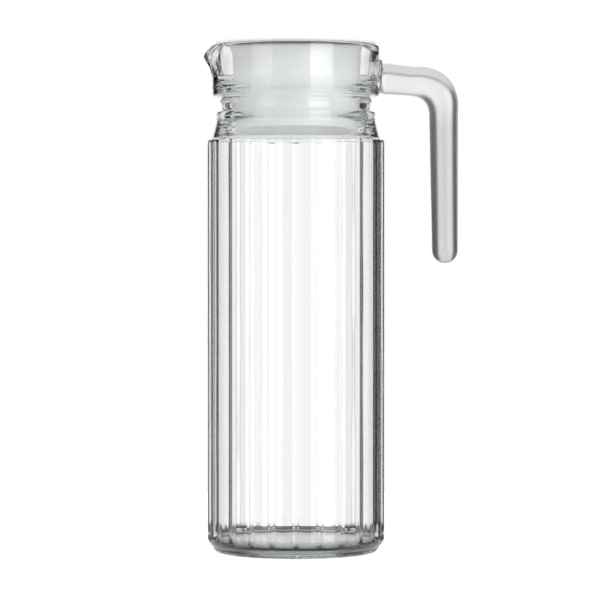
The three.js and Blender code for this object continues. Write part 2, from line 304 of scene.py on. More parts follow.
# %% Levels and radii of the inside
RIM_BORE = 38.2
BAND_FOOT_BORE = 37.4
NECK_BORE = 32.2
BODY_BORE = 40.5
COLLAR_BORE = 35.3
SHOULDER_BORE = 38.4
STEP_RISE = 6
STEP_TOP = BAND_FOOT + STEP_RISE
STEP_ROUND = 4
NECK_FLOW_SINK = 0.6
SHOULDER_FLOW_RISE = 1.3
SHOULDER_FLOW_ROUND = 3
FLOOR_TOP = 5.0
FLOOR_ROUND = 3.8

inside_corners = [
    (RIM_BORE, RIM_TOP, EDGE_ROUND),
    (BAND_FOOT_BORE, STEP_TOP, STEP_ROUND),
    (NECK_BORE, BAND_FOOT, STEP_ROUND),
    (NECK_BORE, COLLAR_TOP - NECK_FLOW_SINK, STEP_ROUND),
    (COLLAR_BORE, SHOULDER_TOP, SHOULDER_FLOW_ROUND),
    (SHOULDER_BORE, BODY_TOP + SHOULDER_FLOW_RISE, SHOULDER_FLOW_ROUND),
    (BODY_BORE, BODY_TOP - SHOULDER_FLOW_RISE, SHOULDER_FLOW_ROUND),
    (BODY_BORE, FLOOR_TOP, FLOOR_ROUND),
    (0, FLOOR_TOP, 0),
]
print("the body's wall is", round(BODY_RADIUS - BODY_BORE, 1), "mm thick")

# %% Spin the vessel
VESSEL_STEPS = 5
LONGEST_STRETCH = 8
RIB_COUNT = 24
RIB_COLUMNS = 18
vessel_corners = foot_corners + rib_top_corners + upper_outside + inside_corners
vessel_line = divided(rounded_outline(vessel_corners, VESSEL_STEPS), LONGEST_STRETCH)
vessel = spun("glass_vessel_fine", vessel_line, RIB_COUNT, RIB_COLUMNS)

# %% [markdown]
# ### Ribs
#
# The mould presses the ribs: each is a shallow arch across, so two ribs meet in a sharp groove.
# They could be modelled one by one, but pushing the grooves into a plain wall keeps one clean mesh:
# a vertex in the middle of a rib stays, and one in a groove moves in by the full depth.
# At the shoulder the rounded top edge follows the grooves, so it is scalloped.
# At the heel the grooves just end where the body turns in.

# %% Press the ribs
RIB_DEPTH = 0.6
RIB_SHARPNESS = 4


def rib_weight(place):
    """1 at the bottom of a groove and 0 in the middle of a rib. The inner wall gets 0 too."""
    radius = math.hypot(place.x, place.y)
    turn = math.atan2(place.y, place.x) / (2 * math.pi) * RIB_COUNT
    across = abs(2 * (turn % 1) - 1)
    groove = across**RIB_SHARPNESS
    if place.z > BODY_TOP / 2:
        ledge_width = BODY_RADIUS - SHOULDER_RADIUS
        return groove * clamp((radius - SHOULDER_RADIUS) / ledge_width)
    return clamp((radius - BODY_RADIUS) / RIB_DEPTH + groove)


weigh(vessel, "grooves", rib_weight)
displace(vessel, "grooves", -RIB_DEPTH)
print(RIB_COUNT, "ribs, with grooves", RIB_DEPTH, "mm deep")

# %% [markdown]
# ### Uneven inner wall
#
# A pressed wall is never quite even inside, and that makes the lines seen through it waver a little.
# A sculpting brush could do it by hand. A soft noise in a Displace gives the same on every run,
# and the weights keep it off the floor and off the shoulder.

# %% Make the inner wall slightly uneven
WAVE_SIZE = 32
WAVE_DEPTH = 0.35
WAVE_START = 20
WAVE_FADE = 20
BORE_MARGIN = 0.1


def inner_wall_weight(place):
    """1 on the body's inner wall, fading out towards the floor and the shoulder."""
    radius = math.hypot(place.x, place.y)
    if abs(radius - BODY_BORE) > BORE_MARGIN:
        return 0
    return clamp((place.z - WAVE_START) / WAVE_FADE) * clamp((BODY_TOP - place.z) / WAVE_FADE)


weigh(vessel, "inner_wall", inner_wall_weight)
displace(vessel, "inner_wall", WAVE_DEPTH, texture=clouds("uneven_glass", WAVE_SIZE))
print("the inner wall wavers by up to", WAVE_DEPTH / 2, "mm")

# %% [markdown]
# ### Lip
#
# The hot rim is drawn out and down with a tool, so the lip is widest and lowest at the rim
# and narrows to nothing down the band. It could be pulled out with proportional editing.
# Here three pushes make it, which can be set apart: one thickens the rim to a bead,
# one goes out along the axis X and one goes down.

# %% Shape of the lip
LIP_LENGTH = 14.5
LIP_HALF_ANGLE = 22
LIP_FOOT_SHARE = 0.4
LIP_FOOT = RIM_TOP - LIP_LENGTH


def lip_shape(place):
    """How far up the lip a place is, and its share of the pull across, both from 0 to 1."""
    rise = clamp((place.z - LIP_FOOT) / LIP_LENGTH)
    half_angle = LIP_HALF_ANGLE * (LIP_FOOT_SHARE + (1 - LIP_FOOT_SHARE) * rise)
    angle = 180 - abs(math.degrees(math.atan2(place.y, place.x)))
    share = math.cos(min(angle / half_angle, 1) * math.pi / 2) ** 2
    return rise, share


print("the lip starts", round(LIP_FOOT, 1), "mm up")

# %% Draw out the lip
LIP_REACH = 3.9
LIP_REACH_POWER = 1.2
LIP_DROP = 5.4
LIP_DROP_POWER = 1.4
LIP_BEAD = 1.3
LIP_BEAD_DEPTH = 5
LIP_BEAD_POWER = 0.5


def lip_reach_weight(place):
    rise, share = lip_shape(place)
    return share * rise**LIP_REACH_POWER


def lip_drop_weight(place):
    rise, share = lip_shape(place)
    return share**LIP_DROP_POWER * rise


def lip_bead_weight(place):
    _, share = lip_shape(place)
    return share**LIP_BEAD_POWER * clamp((place.z - RIM_TOP + LIP_BEAD_DEPTH) / LIP_BEAD_DEPTH)


weigh(vessel, "lip_bead", lip_bead_weight)
weigh(vessel, "lip_reach", lip_reach_weight)
weigh(vessel, "lip_drop", lip_drop_weight)
displace(vessel, "lip_bead", LIP_BEAD)
displace(vessel, "lip_reach", -LIP_REACH, direction="X")
displace(vessel, "lip_drop", -LIP_DROP, direction="Z")
print("the rim is drawn out by", LIP_REACH, "mm and down by", LIP_DROP, "mm")

# %% [markdown]
# ### Soft edge of the lip
#
# Glass that is drawn out hot melts round at once, so nothing on the lip is sharp.
# A Smooth modifier on the lip's own vertices does what the flame does.

# %% Round the lip off
MELT_FACTOR = 0.5
MELT_ROUNDS = 6
bpy.ops.object.modifier_add(type="SMOOTH")
melt = vessel.modifiers[-1]
melt.vertex_group = "lip_reach"
melt.factor = MELT_FACTOR
melt.iterations = MELT_ROUNDS
bpy.ops.object.modifier_apply(modifier=melt.name)
lip_end = min(vertex.co.x for vertex in vessel.data.vertices)
print("the lip ends", round(-lip_end / MM, 1), "mm from the axis")

# %% [markdown]
# ## Handle
#
# The handle is a bar of glass welded hot to the band and bent down, with a free end.
# Its section is a rounded rectangle that changes along the bar, so a curve with one bevel can't do it.
# A plane is added at each station along the bar, its corners are bevelled,
# and the bridge tool joins all these rings into one skin.

# %% Course of the handle
BAR_THICKNESS = 14.3
TIP_THICKNESS = 12.7
HANDLE_REACH = 39.1
ROOT_SINK = 1.5
ROOT_DROP = 16.1
ARM_FALL = 1.6
TIP_DROP = 108.5
BEND_LENGTH = 16
OUTER_X = BAND_RADIUS + HANDLE_REACH
ROOT_X = BAND_RADIUS - ROOT_SINK
ROOT_HEIGHT = RIM_TOP - ROOT_DROP
ARM_HEIGHT = ROOT_HEIGHT - ARM_FALL
TIP_HEIGHT = RIM_TOP - TIP_DROP

grip_x = OUTER_X - BAR_THICKNESS / 2
tip_x = OUTER_X - TIP_THICKNESS / 2
arm_start = Vector((ROOT_X, 0, ROOT_HEIGHT))
arm_end = Vector((grip_x - BEND_LENGTH, 0, ARM_HEIGHT))
bend_corner = Vector((grip_x, 0, ARM_HEIGHT))
grip_top = Vector((grip_x, 0, ARM_HEIGHT - BEND_LENGTH))
tip = Vector((tip_x, 0, TIP_HEIGHT))
arm_way = (arm_end - arm_start).normalized()
grip_way = (tip - grip_top).normalized()
print("the handle reaches", round(OUTER_X, 1), "mm from the axis")

# %% Stations of the weld, the arm and the bend
ROOT_THICKNESS = 15.2
BAR_WIDTH = 16
BEND_SWELL = 2.2
BEND_STATIONS = 24
# How much wider the weld is than the bar, by the length from its root, on each side
WELD_FLARE = [
    (0, 1.0), (0.4, 1.2), (0.8, 1.3), (1.2, 1.2), (1.6, 0.8), (1.9, 0.3),
    (2.2, -0.2), (2.6, -0.5), (3.1, -0.4), (3.7, -0.1), (4.5, 0.0), (6, 0.0),
]
# Each station is its middle, the way the bar runs there, its thickness and its width
stations = []
for length, extra in WELD_FLARE:
    middle = arm_start + arm_way * length
    stations.append((middle, arm_way, ROOT_THICKNESS + 2 * extra, BAR_WIDTH + 2 * extra))
arm_middle = arm_start.lerp(arm_end, 0.5)
stations.append((arm_middle, arm_way, (ROOT_THICKNESS + BAR_THICKNESS) / 2, BAR_WIDTH))
for step in range(BEND_STATIONS + 1):
    share = step / BEND_STATIONS
    middle = arm_end.lerp(bend_corner, share).lerp(bend_corner.lerp(grip_top, share), share)
    way = arm_way.lerp(grip_way, share).normalized()
    thickness = BAR_THICKNESS + BEND_SWELL * math.sin(share * math.pi)
    stations.append((middle, way, thickness, BAR_WIDTH))
print("weld, arm and bend:", len(stations), "stations")

# %% Stations of the grip and its rounded end
GRIP_SHARES = (0.25, 0.5, 0.75)
TIP_STATIONS = 8
tip_round = TIP_THICKNESS / 2
round_start = tip - grip_way * tip_round
for share in GRIP_SHARES:
    middle = grip_top.lerp(round_start, share)
    thickness = BAR_THICKNESS + (TIP_THICKNESS - BAR_THICKNESS) * share
    stations.append((middle, grip_way, thickness, BAR_WIDTH))
for step in range(TIP_STATIONS):
    turn = step / TIP_STATIONS * math.pi / 2
    inset = TIP_THICKNESS * (1 - math.cos(turn))
    middle = round_start + grip_way * tip_round * math.sin(turn)
    stations.append((middle, grip_way, TIP_THICKNESS - inset, BAR_WIDTH - inset))
print("whole handle:", len(stations), "stations")

# %% Bridge the stations into a bar
CORNER_ROUND = 6.8
CORNER_SHARE = 0.49
CORNER_SEGMENTS = 10
bpy.ops.object.select_all(action="DESELECT")
bpy.ops.mesh.primitive_plane_add(size=MM)
handle = bpy.context.object
handle.name = "glass_handle_fine"
handle.data.name = "glass_handle_fine"
bpy.ops.object.mode_set(mode="EDIT")
bpy.ops.mesh.delete(type="VERT")
for middle, way, thickness, width in stations:
    bpy.ops.mesh.select_all(action="DESELECT")
    bpy.ops.mesh.primitive_plane_add(size=MM, location=middle * MM)
    bpy.ops.transform.resize(value=(thickness, width, 1), center_override=middle * MM)
    corner = min(CORNER_ROUND, CORNER_SHARE * thickness, CORNER_SHARE * width)
    bpy.ops.mesh.bevel(
        offset=corner * MM, affect="VERTICES", segments=CORNER_SEGMENTS, offset_type="OFFSET"
    )
    turn = math.atan2(way.x, way.z)
    bpy.ops.transform.rotate(value=-turn, orient_axis="Y", center_override=middle * MM)
    bpy.ops.mesh.delete(type="ONLY_FACE")
bpy.ops.mesh.select_all(action="SELECT")
bpy.ops.mesh.bridge_edge_loops()
bpy.ops.mesh.select_all(action="DESELECT")
bpy.ops.mesh.select_non_manifold()
bpy.ops.mesh.fill()
clean_mesh()
bpy.ops.object.mode_set(mode="OBJECT")
print("the handle is bridged into", len(handle.data.polygons), "faces")

# %% [markdown]
# ### Weld
#
# Where the hot bar was pressed on the band, the glass swelled out and set in lumps.
# They could be sculpted, but a fine noise gives the same lumps on every run.
# It pushes the first millimetres of the bar in and out. The root stays as it is,
# because it lies inside the band's wall.

# %% Make the weld lumpy
WELD_LUMP = 2.0
WELD_DEPTH = 1.8
WELD_REACH = 2.6
WELD_FADE = 2
WELD_ROOT = 0.6


def weld_weight(place):
    """1 in the weld, fading out along the arm and towards the root."""
    along_arm = clamp((BAND_RADIUS + WELD_REACH - place.x) / WELD_FADE)
    return along_arm * clamp((place.x - ROOT_X - WELD_ROOT) / WELD_ROOT)


weigh(handle, "weld", weld_weight)
displace(handle, "weld", WELD_DEPTH, texture=clouds("weld_lumps", WELD_LUMP))
print("handle has", len(handle.data.vertices), "vertices and", len(handle.data.polygons), "faces")

# %% [markdown]
# ## Lid
#
# The lid is one white moulding: a thin flange that lies on the rim, a skirt that goes down into
# the neck, a small bead that holds the soft ring, and a sunk round grip with a bar across it.
# All but the bar and the pouring window is round, so the outline is spun first.

# %% Levels and radii of the lid
LID_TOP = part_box("lid")[1].z / MM
SKIRT_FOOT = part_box("lid")[0].z / MM
LID_WALL = 1.8
FLANGE_THICKNESS = 1.5
FLANGE_INSET = 1.7
SKIRT_ROOM = 0.5
SKIRT_TOP_STEP = 1
GRIP_INSET = 8.2
GRIP_DEPTH = 15
FLANGE_FOOT = LID_TOP - FLANGE_THICKNESS
FLANGE_RADIUS = BAND_RADIUS - FLANGE_INSET
SKIRT_RADIUS = NECK_BORE - SKIRT_ROOM
SKIRT_TOP_RADIUS = SKIRT_RADIUS + SKIRT_TOP_STEP
GRIP_RADIUS = SKIRT_RADIUS - GRIP_INSET
GRIP_FLOOR = LID_TOP - GRIP_DEPTH
WELL_RADIUS = GRIP_RADIUS + LID_WALL
WELL_FOOT = GRIP_FLOOR - LID_WALL
print("the skirt is", round(LID_TOP - SKIRT_FOOT, 1), "mm deep")

# %% Place for the soft ring
SEAL_GAP = 0.3
SEAL_HEIGHT = 1.4
SEAL_BEAD_HEIGHT = 3
SEAL_TOP = FLANGE_FOOT - SEAL_GAP
SEAL_FOOT = SEAL_TOP - SEAL_HEIGHT
SEAL_BEAD_TOP = SEAL_FOOT - SEAL_GAP
SEAL_BEAD_FOOT = SEAL_BEAD_TOP - SEAL_BEAD_HEIGHT
print("the ring sits between", round(SEAL_FOOT, 1), "and", round(SEAL_TOP, 1), "mm")

# %% Lid outline
WELL_ROUND = 3.6
ROOF_ROUND = 0.8
CREASE_ROUND = 0.3
SKIRT_EDGE_ROUND = 0.6
SKIRT_STEP_ROUND = 2
BEAD_TUCK = 0.3
BEAD_TUCK_ROUND = 1.4
BEAD_OUT = 0.8
BEAD_EDGE_ROUND = 0.2
GROOVE_ROUND = 0.1
FLANGE_ROOT_ROUND = 0.2
FLANGE_EDGE_ROUND = 0.6
GRIP_EDGE_ROUND = 1.0
GRIP_FLOOR_ROUND = 1.8

lid_corners = [
    (0, WELL_FOOT, 0),
    (WELL_RADIUS, WELL_FOOT, WELL_ROUND),
    (WELL_RADIUS, FLANGE_FOOT, ROOF_ROUND),
    (SKIRT_TOP_RADIUS - LID_WALL, FLANGE_FOOT, ROOF_ROUND),
    (SKIRT_TOP_RADIUS - LID_WALL, SEAL_BEAD_TOP, CREASE_ROUND),
    (SKIRT_RADIUS - LID_WALL, STEP_TOP, CREASE_ROUND),
    (SKIRT_RADIUS - LID_WALL, SKIRT_FOOT, SKIRT_EDGE_ROUND),
    (SKIRT_RADIUS, SKIRT_FOOT, SKIRT_EDGE_ROUND),
    (SKIRT_RADIUS, STEP_TOP, SKIRT_STEP_ROUND),
    (SKIRT_TOP_RADIUS - BEAD_TUCK, SEAL_BEAD_FOOT, BEAD_TUCK_ROUND),
    (SKIRT_TOP_RADIUS + BEAD_OUT, SEAL_BEAD_TOP, BEAD_EDGE_ROUND),
    (SKIRT_TOP_RADIUS, SEAL_BEAD_TOP, GROOVE_ROUND),
    (SKIRT_TOP_RADIUS, FLANGE_FOOT, FLANGE_ROOT_ROUND),
    (FLANGE_RADIUS, FLANGE_FOOT, CREASE_ROUND),
    (FLANGE_RADIUS, LID_TOP, FLANGE_EDGE_ROUND),
    (GRIP_RADIUS, LID_TOP, GRIP_EDGE_ROUND),
    (GRIP_RADIUS, GRIP_FLOOR, GRIP_FLOOR_ROUND),
    (0, GRIP_FLOOR, 0),
]
print("the lid's outline has", len(lid_corners), "corners")

# %% Spin the lid
LID_SECTORS = 12
LID_COLUMNS = 16
LID_STEPS = 6
LID_STRETCH = 5
lid_line = divided(rounded_outline(lid_corners, LID_STEPS), LID_STRETCH)
lid = spun("lid_fine", lid_line, LID_SECTORS, LID_COLUMNS)

# %% [markdown]
# ### Grip bar and pouring window
#
# Thumb and finger hold the bar across the sunk grip. The window in the skirt lets the drink through
# when it is turned to the lip. Both break the round shape, so they can't be spun.
# A Boolean joins a bevelled block as the bar, and another one cuts a tapered block out of the skirt.

# %% Helpers for blocks
def combine(piece, tool, operation):
    """Joins a tool to the piece, or cuts it away, and deletes the tool."""
    bpy.ops.object.select_all(action="DESELECT")
    piece.select_set(True)
    bpy.context.view_layer.objects.active = piece
    bpy.ops.object.modifier_add(type="BOOLEAN")
    change = piece.modifiers[-1]
    change.operation = operation
    change.object = tool
    bpy.ops.object.modifier_apply(modifier=change.name)
    bpy.data.objects.remove(tool)


def block(middle, size):
    """A box in mm with its place in the mesh."""
    bpy.ops.object.select_all(action="DESELECT")
    bpy.ops.mesh.primitive_cube_add(size=MM)
    made = bpy.context.object
    bpy.ops.object.mode_set(mode="EDIT")
    bpy.ops.transform.resize(value=size)
    bpy.ops.transform.translate(value=Vector(middle) * MM)
    bpy.ops.object.mode_set(mode="OBJECT")
    return made


# %% Grip bar
BAR_SINK = 0.5
GRIP_BAR_WIDTH = 7
BAR_EDGE_ROUND = 0.7
BAR_EDGE_SEGMENTS = 4
bar_height = LID_TOP - BAR_SINK - GRIP_FLOOR + LID_WALL / 2
bar_middle = LID_TOP - BAR_SINK - bar_height / 2
bar = block((0, 0, bar_middle), (2 * GRIP_RADIUS + LID_WALL, GRIP_BAR_WIDTH, bar_height))
bpy.ops.object.mode_set(mode="EDIT")
bpy.ops.mesh.select_all(action="SELECT")
bpy.ops.mesh.bevel(offset=BAR_EDGE_ROUND * MM, segments=BAR_EDGE_SEGMENTS, affect="EDGES")
bpy.ops.object.mode_set(mode="OBJECT")
combine(lid, bar, "UNION")
print("the bar is", GRIP_BAR_WIDTH, "mm wide and ends", BAR_SINK, "mm under the top")

# %% Block for the window, narrower at its top
WINDOW_TOP_WIDTH = 19
WINDOW_FOOT_WIDTH = 41
WINDOW_DROP = 0.3
window_top = SEAL_BEAD_FOOT - WINDOW_DROP
window_foot = SKIRT_FOOT - LID_WALL
window_middle = (window_top + window_foot) / 2
window = block(
    (-BAND_RADIUS / 2, 0, window_middle),
    (BAND_RADIUS, WINDOW_FOOT_WIDTH, window_top - window_foot),
)
for vertex in window.data.vertices:
    vertex.select = vertex.co.z > window_middle * MM
taper = WINDOW_TOP_WIDTH / WINDOW_FOOT_WIDTH
bpy.ops.object.mode_set(mode="EDIT")
bpy.ops.transform.resize(value=(1, taper, 1), center_override=(0, 0, 0))
bpy.ops.object.mode_set(mode="OBJECT")
print("the window is", round(window_top - SKIRT_FOOT, 1), "mm high")

# %% Cut the window, but not into the grip's well
kept_radius = (WELL_RADIUS + SKIRT_RADIUS - LID_WALL) / 2
kept_foot = WELL_FOOT - LID_WALL
bpy.ops.object.select_all(action="DESELECT")
bpy.ops.mesh.primitive_cylinder_add(
    vertices=LID_SECTORS * LID_COLUMNS,
    radius=kept_radius * MM,
    depth=(LID_TOP - kept_foot) * MM,
    location=(0, 0, (LID_TOP + kept_foot) / 2 * MM),
)
kept = bpy.context.object
combine(window, kept, "DIFFERENCE")
combine(lid, window, "DIFFERENCE")
print("lid has", len(lid.data.vertices), "vertices and", len(lid.data.polygons), "faces")

# %% [markdown]
# ## Soft ring
#
# A ring of soft silicone under the flange closes the gap between the skirt and the mouth.
# A torus would be round in section. This one is flat with rounded edges, so it is spun like the lid.
# Its outline is closed: it starts and ends in the middle of the underside.

# %% Soft ring outline
SEAL_OUTSIDE = 37.8
SEAL_LEAN = 0.1
SEAL_OUTER_ROUND = 0.6
SEAL_INNER_ROUND = 0.5
seal_inside = SKIRT_TOP_RADIUS + SEAL_GAP
seal_middle = (seal_inside + SEAL_OUTSIDE) / 2
seal_corners = [
    (seal_middle, SEAL_FOOT, 0),
    (SEAL_OUTSIDE - SEAL_LEAN, SEAL_FOOT, SEAL_OUTER_ROUND),
    (SEAL_OUTSIDE, SEAL_TOP, SEAL_OUTER_ROUND),
    (seal_inside, SEAL_TOP, SEAL_INNER_ROUND),
    (seal_inside, SEAL_FOOT, SEAL_INNER_ROUND),
    (seal_middle, SEAL_FOOT, 0),
]
ring = spun("lid_seal_fine", rounded_outline(seal_corners, LID_STEPS), LID_SECTORS, LID_COLUMNS)

# %% [markdown]
# ## Smooth shading
#
# Glass that was fire-polished has no hard edges, so the vessel and the handle are shaded smooth all over.
# The lid and the ring are moulded with crisp edges: there only shallow angles are smoothed.

# %% Smooth shading
CRISP_ANGLE = 35
for piece in (vessel, handle, lid, ring):
    bpy.ops.object.select_all(action="DESELECT")
    piece.select_set(True)
    bpy.context.view_layer.objects.active = piece
    if piece in (lid, ring):
        bpy.ops.object.shade_smooth_by_angle(angle=math.radians(CRISP_ANGLE))
    else:
        bpy.ops.object.shade_smooth()
    print(piece.name, "is shaded smooth")


# %% [markdown]
# ## Finishes
#
# Every finish is a small tree of nodes. They could be clicked together in the shader editor.
# A helper that adds a node with its settings keeps the code of each finish as short as a recipe.

# %% Node helpers
def add_node(tree, kind, settings=None, sockets=None):
    """A new node with its settings and the plain values of its sockets."""
    node = tree.nodes.new("ShaderNode" + kind)
    for name, value in (settings or {}).items():
        setattr(node, name, value)
    for name, value in (sockets or {}).items():
        node.inputs[name].default_value = value
    return node


def new_finish(name, sockets):
    """A material with a Principled shader that has the given plain values."""
    finish = bpy.data.materials.new(name)
    finish.use_nodes = True
    shader = finish.node_tree.nodes["Principled BSDF"]
    for socket, value in sockets.items():
        shader.inputs[socket].default_value = value
    return finish, finish.node_tree, shader


def put_on(piece, finish):
    """Gives the piece this one finish."""
    piece.data.materials.clear()
    piece.data.materials.append(finish)
    print(piece.name, "gets", finish.name)


# %% [markdown]
# ### Clear glass
#
# Soda-lime glass bends light with an index of 1.52.
# What makes its edges dark and a little green is the iron in it:
# a Volume Absorption takes more light the longer its way through the glass is, so the walls stay clear
# where one looks straight through them, and the sides and the thick base go grey-green.
# Shadow rays pass straight through, as much light does, because this render traces no caustics.

# %% Clear glass
GLASS_INDEX = 1.52
IRON_TINT = (0.68, 0.72, 0.715, 1)
IRON_DENSITY = 26
glass, tree, shader = new_finish(
    "clear_glass", {"Base Color": (1, 1, 1, 1), "IOR": GLASS_INDEX, "Transmission Weight": 1}
)
path = add_node(tree, "LightPath")
clear = add_node(tree, "BsdfTransparent")
mix = add_node(tree, "MixShader")
iron = add_node(tree, "VolumeAbsorption", {"name": "iron"}, {"Color": IRON_TINT, "Density": IRON_DENSITY})
out = tree.nodes["Material Output"]
tree.links.new(path.outputs["Is Shadow Ray"], mix.inputs[0])
tree.links.new(shader.outputs[0], mix.inputs[1])
tree.links.new(clear.outputs[0], mix.inputs[2])
tree.links.new(mix.outputs[0], out.inputs["Surface"])
tree.links.new(iron.outputs[0], out.inputs["Volume"])
put_on(vessel, glass)

# %% [markdown]
# ### Stippled base
#
# The underside of a pressed glass is stippled by the mould, so that it doesn't show scratches.
# The lumps come from a noise that drives a bump. A Map Range on the height keeps it to the lowest
# 2 mm or so, and the same mask makes the underside a little matt.

# %% Stippled base
STIPPLE_SCALE = 170
STIPPLE_DETAIL = 2
STIPPLE_HEIGHT = 2.5 * MM
STIPPLE_END = 2.2 * MM
STIPPLE_FULL = 1.4 * MM
BASE_ROUGHNESS = 0.05
place = add_node(tree, "TexCoord")
axes = add_node(tree, "SeparateXYZ", {"name": "axes"})
under = add_node(tree, "MapRange", sockets={"From Min": STIPPLE_END, "From Max": STIPPLE_FULL})
frost = add_node(tree, "MapRange", sockets={"To Max": BASE_ROUGHNESS})
stipple = add_node(tree, "TexNoise", sockets={"Scale": STIPPLE_SCALE, "Detail": STIPPLE_DETAIL})
bump = add_node(tree, "Bump", sockets={"Distance": STIPPLE_HEIGHT})
tree.links.new(place.outputs["Object"], axes.inputs[0])
tree.links.new(place.outputs["Object"], stipple.inputs["Vector"])
tree.links.new(axes.outputs["Z"], under.inputs["Value"])
tree.links.new(under.outputs["Result"], frost.inputs["Value"])
tree.links.new(frost.outputs["Result"], shader.inputs["Roughness"])
tree.links.new(under.outputs["Result"], bump.inputs["Strength"])
tree.links.new(stipple.outputs["Fac"], bump.inputs["Height"])
tree.links.new(bump.outputs["Normal"], shader.inputs["Normal"])
print("the stipple ends", round(STIPPLE_END / MM, 1), "mm above the table")

# %% [markdown]
# ### Satin handle
#
# The handle is the same glass, but its skin is satin, so it looks like grey ice rather than like a lens.
# The finish is a copy of the clear one with another roughness. A Map Range along X keeps the weld clear
# and lets the satin begin a few millimetres further out, and a noise makes the haze slightly cloudy.
# The grip looks a little greyer than the arm, which a ramp on the height paints in as shade on the glass's
# colour.

# %% Satin handle
# Painted shade: the bar's colour greys it, darker on the grip than on the arm
GRIP_PAINTED_SHADE = (0.68, 0.677, 0.675, 1)
ARM_PAINTED_SHADE = (0.9, 0.896, 0.894, 1)
GRIP_SHADE_END = 212 * MM
ARM_SHADE_START = 228 * MM
SATIN_IRON = (0.85, 0.85, 0.85, 1)
CLEAR_LENGTH = 1
HAZE_LENGTH = 2.8
SATIN_CLEAR_END = (BAND_RADIUS + CLEAR_LENGTH) * MM
SATIN_START = (BAND_RADIUS + HAZE_LENGTH) * MM
SATIN_ROUGHNESS = (0.26, 0.34)
SATIN_CLOUD_SCALE = 60
SATIN_CLOUD_DETAIL = 3
satin = glass.copy()
satin.name = "satin_glass"
tree = satin.node_tree
shader = tree.nodes["Principled BSDF"]
tree.nodes["iron"].inputs["Color"].default_value = SATIN_IRON
place = add_node(tree, "TexCoord")
cloud = add_node(tree, "TexNoise", sockets={"Scale": SATIN_CLOUD_SCALE, "Detail": SATIN_CLOUD_DETAIL})
cloudy = add_node(
    tree, "MapRange", sockets={"To Min": SATIN_ROUGHNESS[0], "To Max": SATIN_ROUGHNESS[1]}
)
haze = add_node(tree, "MapRange", sockets={"From Min": SATIN_CLEAR_END, "From Max": SATIN_START})
rise = add_node(tree, "MapRange", sockets={"From Min": GRIP_SHADE_END, "From Max": ARM_SHADE_START})
# This ramp is painted shade: grey low on the grip, lighter up the arm
tint = add_node(tree, "ValToRGB")
tint.color_ramp.elements[0].color = GRIP_PAINTED_SHADE
tint.color_ramp.elements[1].color = ARM_PAINTED_SHADE
tree.links.new(tree.nodes["axes"].outputs["Z"], rise.inputs["Value"])
tree.links.new(rise.outputs["Result"], tint.inputs["Fac"])
tree.links.new(tint.outputs["Color"], shader.inputs["Base Color"])
tree.links.new(place.outputs["Object"], cloud.inputs["Vector"])
tree.links.new(cloud.outputs["Fac"], cloudy.inputs["Value"])
tree.links.new(tree.nodes["axes"].outputs["X"], haze.inputs["Value"])
tree.links.new(cloudy.outputs["Result"], haze.inputs["To Max"])
tree.links.new(haze.outputs["Result"], shader.inputs["Roughness"])
put_on(handle, satin)

# %% [markdown]
# ### Moulded plastics
#
# The lid is white polyethylene, which light enters a few millimetres deep,
# so it gets subsurface scattering. The ring is soft silicone; its near-black grey is painted shade for the
# gap under the flange.
# Both come from a mould with a fine grain, so one recipe does for both:
# a soft noise varies the colour and the gloss a little, and a fine one gives the grain.

# %% Moulded plastics
FLOW_SCALE = 70
FLOW_DETAIL = 3
GRAIN_SCALE = 1800
GRAIN_DETAIL = 2
GRAIN_DEPTH = 0.03 * MM
GRAIN_STRENGTH = 0.2
FLOW_LOW = 0.35
FLOW_HIGH = 0.65


def moulded(name, dark, light, gloss, sockets):
    """A moulded finish whose colour and roughness drift from one value to the other with the flow."""
    finish, tree, shader = new_finish(name, sockets)
    place = add_node(tree, "TexCoord")
    flow = add_node(tree, "TexNoise", sockets={"Scale": FLOW_SCALE, "Detail": FLOW_DETAIL})
    grain = add_node(tree, "TexNoise", sockets={"Scale": GRAIN_SCALE, "Detail": GRAIN_DETAIL})
    colour = add_node(tree, "ValToRGB")
    roughness = add_node(
        tree,
        "MapRange",
        sockets={"From Min": FLOW_LOW, "From Max": FLOW_HIGH, "To Min": gloss[0], "To Max": gloss[1]},
    )
    bump = add_node(tree, "Bump", sockets={"Strength": GRAIN_STRENGTH, "Distance": GRAIN_DEPTH})
    stops = colour.color_ramp.elements
    for stop, position, tint in ((stops[0], FLOW_LOW, dark), (stops[1], FLOW_HIGH, light)):
        stop.position = position
        stop.color = tint
    tree.links.new(place.outputs["Object"], flow.inputs["Vector"])
    tree.links.new(place.outputs["Object"], grain.inputs["Vector"])
    tree.links.new(flow.outputs["Fac"], colour.inputs["Fac"])
    tree.links.new(flow.outputs["Fac"], roughness.inputs["Value"])
    tree.links.new(grain.outputs["Fac"], bump.inputs["Height"])
    tree.links.new(colour.outputs["Color"], shader.inputs["Base Color"])
    tree.links.new(roughness.outputs["Result"], shader.inputs["Roughness"])
    tree.links.new(bump.outputs["Normal"], shader.inputs["Normal"])
    return finish


# %% White lid, and ring darkened with painted shade
MILKY_DEPTH = 4 * MM
LID_DARK = (0.865, 0.89, 0.915, 1)
LID_LIGHT = (0.89, 0.915, 0.94, 1)
LID_GLOSS = (0.34, 0.42)
# The ring's near-black colour is painted shade: it darkens the gap under the flange, where shade falls
RING_GAP_SHADE_DARK = (0.07, 0.084, 0.084, 1)
RING_GAP_SHADE_LIGHT = (0.092, 0.106, 0.106, 1)
RING_GLOSS = (0.44, 0.58)
milky = {"Subsurface Weight": 1, "Subsurface Radius": (1, 1, 1), "Subsurface Scale": MILKY_DEPTH}
put_on(lid, moulded("white_plastic", LID_DARK, LID_LIGHT, LID_GLOSS, milky))
put_on(ring, moulded("soft_ring", RING_GAP_SHADE_DARK, RING_GAP_SHADE_LIGHT, RING_GLOSS, {}))

# %% [markdown]
# ## Bodies
#
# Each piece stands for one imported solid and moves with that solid's body: vessel and handle are one body,
# the ring lifts out of the mouth, and the lid lifts with it and turns.

